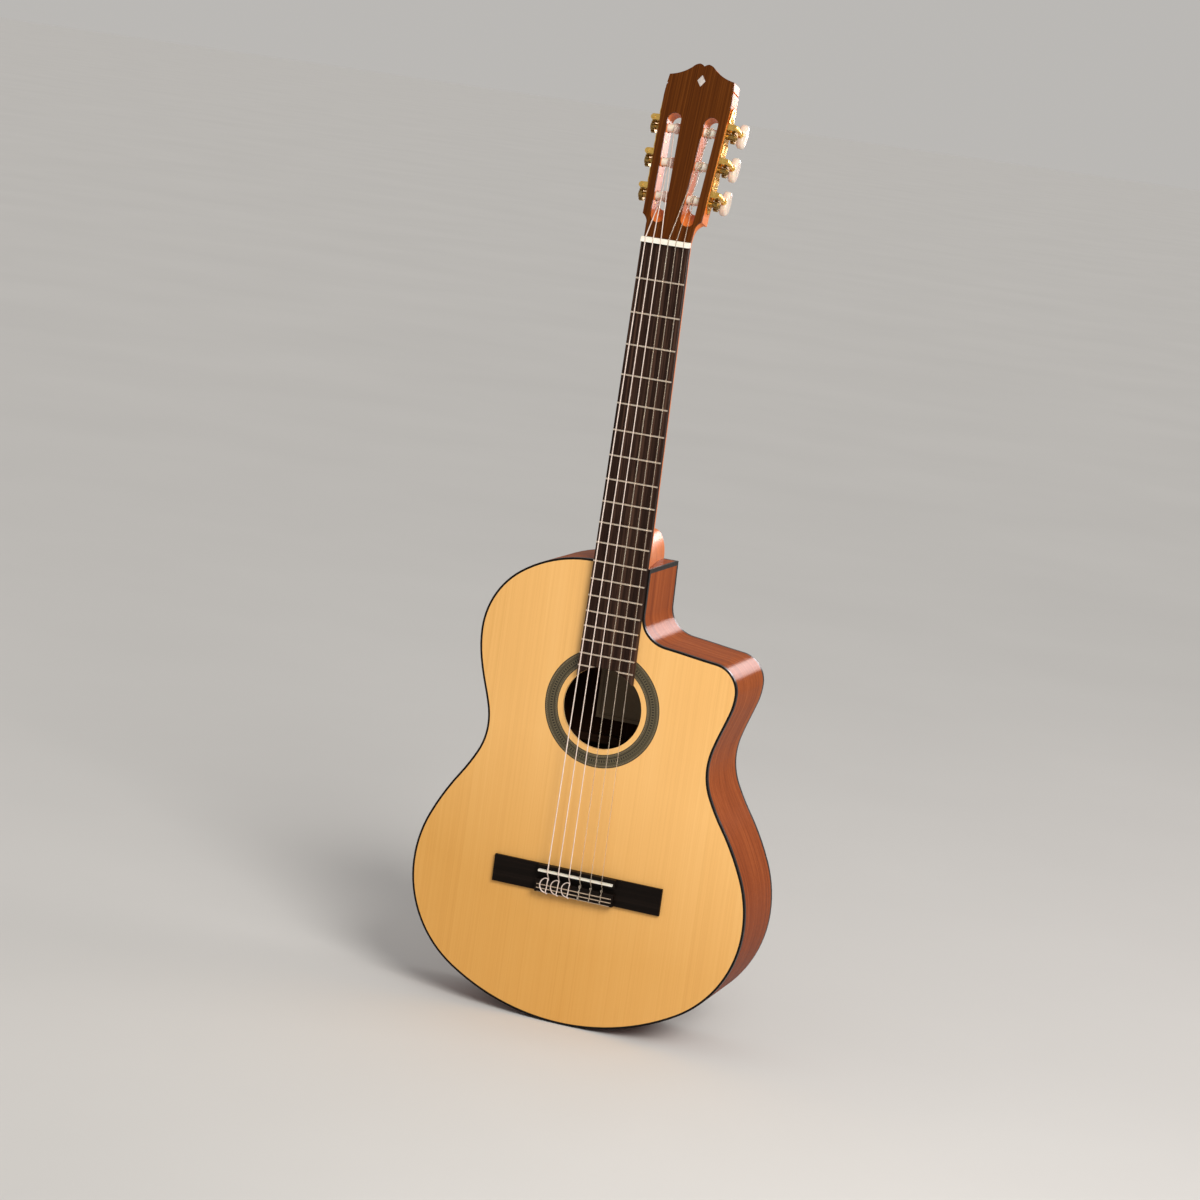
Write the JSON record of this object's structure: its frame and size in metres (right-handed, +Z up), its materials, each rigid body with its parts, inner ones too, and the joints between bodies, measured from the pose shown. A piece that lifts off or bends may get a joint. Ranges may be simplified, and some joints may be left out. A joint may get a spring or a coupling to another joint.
{
  "type": "classical guitar",
  "caption": "Nylon-string classical guitar with a cutaway body, slotted head, geared tuning keys and tie bridge.",
  "frame": {"origin": "lowest point of the tail of the body, on the centre line, at half the depth of the tail", "axes": "+Z up along the neck towards the head, -Y out of the soundboard towards the listener, +X to the treble side, where the cutaway is"},
  "size_m": [0.363, 0.1158, 0.99],
  "materials": {
    "spruce_top": "satin",
    "mahogany_back": "satin",
    "mahogany_rib": "satin",
    "mahogany_rib_treble": "satin",
    "top_binding": "gloss",
    "back_binding": "gloss",
    "corner_strip": "gloss",
    "linings": "raw",
    "tail_block": "raw",
    "fan_braces": "raw",
    "harmonic_bars": "raw",
    "soundhole_patch": "raw",
    "back_braces": "raw",
    "label": "matt paper",
    "rosette": "satin",
    "bridge": "satin",
    "saddle": "polished bone",
    "tie_block_trim": "polished bone",
    "neck": "satin",
    "heel": "satin",
    "heel_cap": "satin",
    "headstock": "satin",
    "headplate": "satin",
    "head_inlay": "pearl",
    "fingerboard": "oiled",
    "frets": "polished",
    "nut": "polished bone",
    "tuner_plate_bass": "polished",
    "tuner_plate_treble": "polished",
    "plate_screws": "polished",
    "string_1": "clear nylon",
    "string_2": "clear nylon",
    "string_3": "clear nylon",
    "string_4": "silver-plated winding",
    "string_5": "silver-plated winding",
    "string_6": "silver-plated winding",
    "gear_1": "polished",
    "roller_1": "nylon",
    "worm_1": "polished",
    "button_1": "pearl",
    "gear_2": "polished",
    "roller_2": "nylon",
    "worm_2": "polished",
    "button_2": "pearl",
    "gear_3": "polished",
    "roller_3": "nylon",
    "worm_3": "polished",
    "button_3": "pearl",
    "gear_4": "polished",
    "roller_4": "nylon",
    "worm_4": "polished",
    "button_4": "pearl",
    "gear_5": "polished",
    "roller_5": "nylon",
    "worm_5": "polished",
    "button_5": "pearl",
    "gear_6": "polished",
    "roller_6": "nylon",
    "worm_6": "polished",
    "button_6": "pearl"
  },
  "bodies": {
    "guitar": {"soundboard": "spruce_top", "back": "mahogany_back", "rib_bass": "mahogany_rib", "rib_treble": "mahogany_rib_treble", "top_binding": "top_binding", "back_binding": "back_binding", "corner_strip": "corner_strip", "linings": "linings", "tail_block": "tail_block", "fan_braces": "fan_braces", "harmonic_bars": "harmonic_bars", "soundhole_patch": "soundhole_patch", "back_braces": "back_braces", "label": "label", "rosette": "rosette", "bridge": "bridge", "saddle": "saddle", "tie_block_trim": "tie_block_trim", "neck": "neck", "heel": "heel", "heel_cap": "heel_cap", "headstock": "headstock", "headplate": "headplate", "head_inlay": "head_inlay", "fingerboard": "fingerboard", "frets": "frets", "nut": "nut", "tuner_plate_bass": "tuner_plate_bass", "tuner_plate_treble": "tuner_plate_treble", "plate_screws": "plate_screws", "string_1": "string_1", "string_2": "string_2", "string_3": "string_3", "string_4": "string_4", "string_5": "string_5", "string_6": "string_6"},
    "key_1": {"worm_1": "worm_1", "button_1": "button_1"},
    "post_1": {"gear_1": "gear_1", "roller_1": "roller_1"},
    "key_2": {"worm_2": "worm_2", "button_2": "button_2"},
    "post_2": {"gear_2": "gear_2", "roller_2": "roller_2"},
    "key_3": {"worm_3": "worm_3", "button_3": "button_3"},
    "post_3": {"gear_3": "gear_3", "roller_3": "roller_3"},
    "key_4": {"worm_4": "worm_4", "button_4": "button_4"},
    "post_4": {"gear_4": "gear_4", "roller_4": "roller_4"},
    "key_5": {"worm_5": "worm_5", "button_5": "button_5"},
    "post_5": {"gear_5": "gear_5", "roller_5": "roller_5"},
    "key_6": {"worm_6": "worm_6", "button_6": "button_6"},
    "post_6": {"gear_6": "gear_6", "roller_6": "roller_6"}
  },
  "joints": [
    {"name": "key_1_turn", "type": "hinge", "parent": "guitar", "child": "key_1", "pos_m": [0.03982, -0.02689, 0.86224], "axis": [0, 0.9703, -0.2419], "continuous": true},
    {"name": "post_1_turn", "type": "hinge", "parent": "guitar", "child": "post_1", "pos_m": [0.03299, -0.02891, 0.85414], "axis": [0.9993, -0.0093, -0.0372], "continuous": true},
    {"name": "key_2_turn", "type": "hinge", "parent": "guitar", "child": "key_2", "pos_m": [0.04116, -0.01843, 0.89617], "axis": [0, 0.9703, -0.2419], "continuous": true},
    {"name": "post_2_turn", "type": "hinge", "parent": "guitar", "child": "post_2", "pos_m": [0.03434, -0.02045, 0.88807], "axis": [0.9993, -0.0093, -0.0372], "continuous": true},
    {"name": "key_3_turn", "type": "hinge", "parent": "guitar", "child": "key_3", "pos_m": [0.04251, -0.00997, 0.93011], "axis": [0, 0.9703, -0.2419], "continuous": true},
    {"name": "post_3_turn", "type": "hinge", "parent": "guitar", "child": "post_3", "pos_m": [0.03568, -0.01199, 0.92201], "axis": [0.9993, -0.0093, -0.0372], "continuous": true},
    {"name": "key_4_turn", "type": "hinge", "parent": "guitar", "child": "key_4", "pos_m": [-0.04251, -0.00997, 0.93011], "axis": [0, 0.9703, -0.2419], "continuous": true},
    {"name": "post_4_turn", "type": "hinge", "parent": "guitar", "child": "post_4", "pos_m": [-0.03568, -0.01199, 0.92201], "axis": [0.9993, 0.0093, 0.0372], "continuous": true},
    {"name": "key_5_turn", "type": "hinge", "parent": "guitar", "child": "key_5", "pos_m": [-0.04116, -0.01843, 0.89617], "axis": [0, 0.9703, -0.2419], "continuous": true},
    {"name": "post_5_turn", "type": "hinge", "parent": "guitar", "child": "post_5", "pos_m": [-0.03434, -0.02045, 0.88807], "axis": [0.9993, 0.0093, 0.0372], "continuous": true},
    {"name": "key_6_turn", "type": "hinge", "parent": "guitar", "child": "key_6", "pos_m": [-0.03982, -0.02689, 0.86224], "axis": [0, 0.9703, -0.2419], "continuous": true},
    {"name": "post_6_turn", "type": "hinge", "parent": "guitar", "child": "post_6", "pos_m": [-0.03299, -0.02891, 0.85414], "axis": [0.9993, 0.0093, 0.0372], "continuous": true}
  ],
  "couplings": [
    {"joint": "post_1_turn", "follows": "key_1_turn", "ratio": 0.071429},
    {"joint": "post_2_turn", "follows": "key_2_turn", "ratio": 0.071429},
    {"joint": "post_3_turn", "follows": "key_3_turn", "ratio": 0.071429},
    {"joint": "post_4_turn", "follows": "key_4_turn", "ratio": 0.071429},
    {"joint": "post_5_turn", "follows": "key_5_turn", "ratio": 0.071429},
    {"joint": "post_6_turn", "follows": "key_6_turn", "ratio": 0.071429}
  ]
}
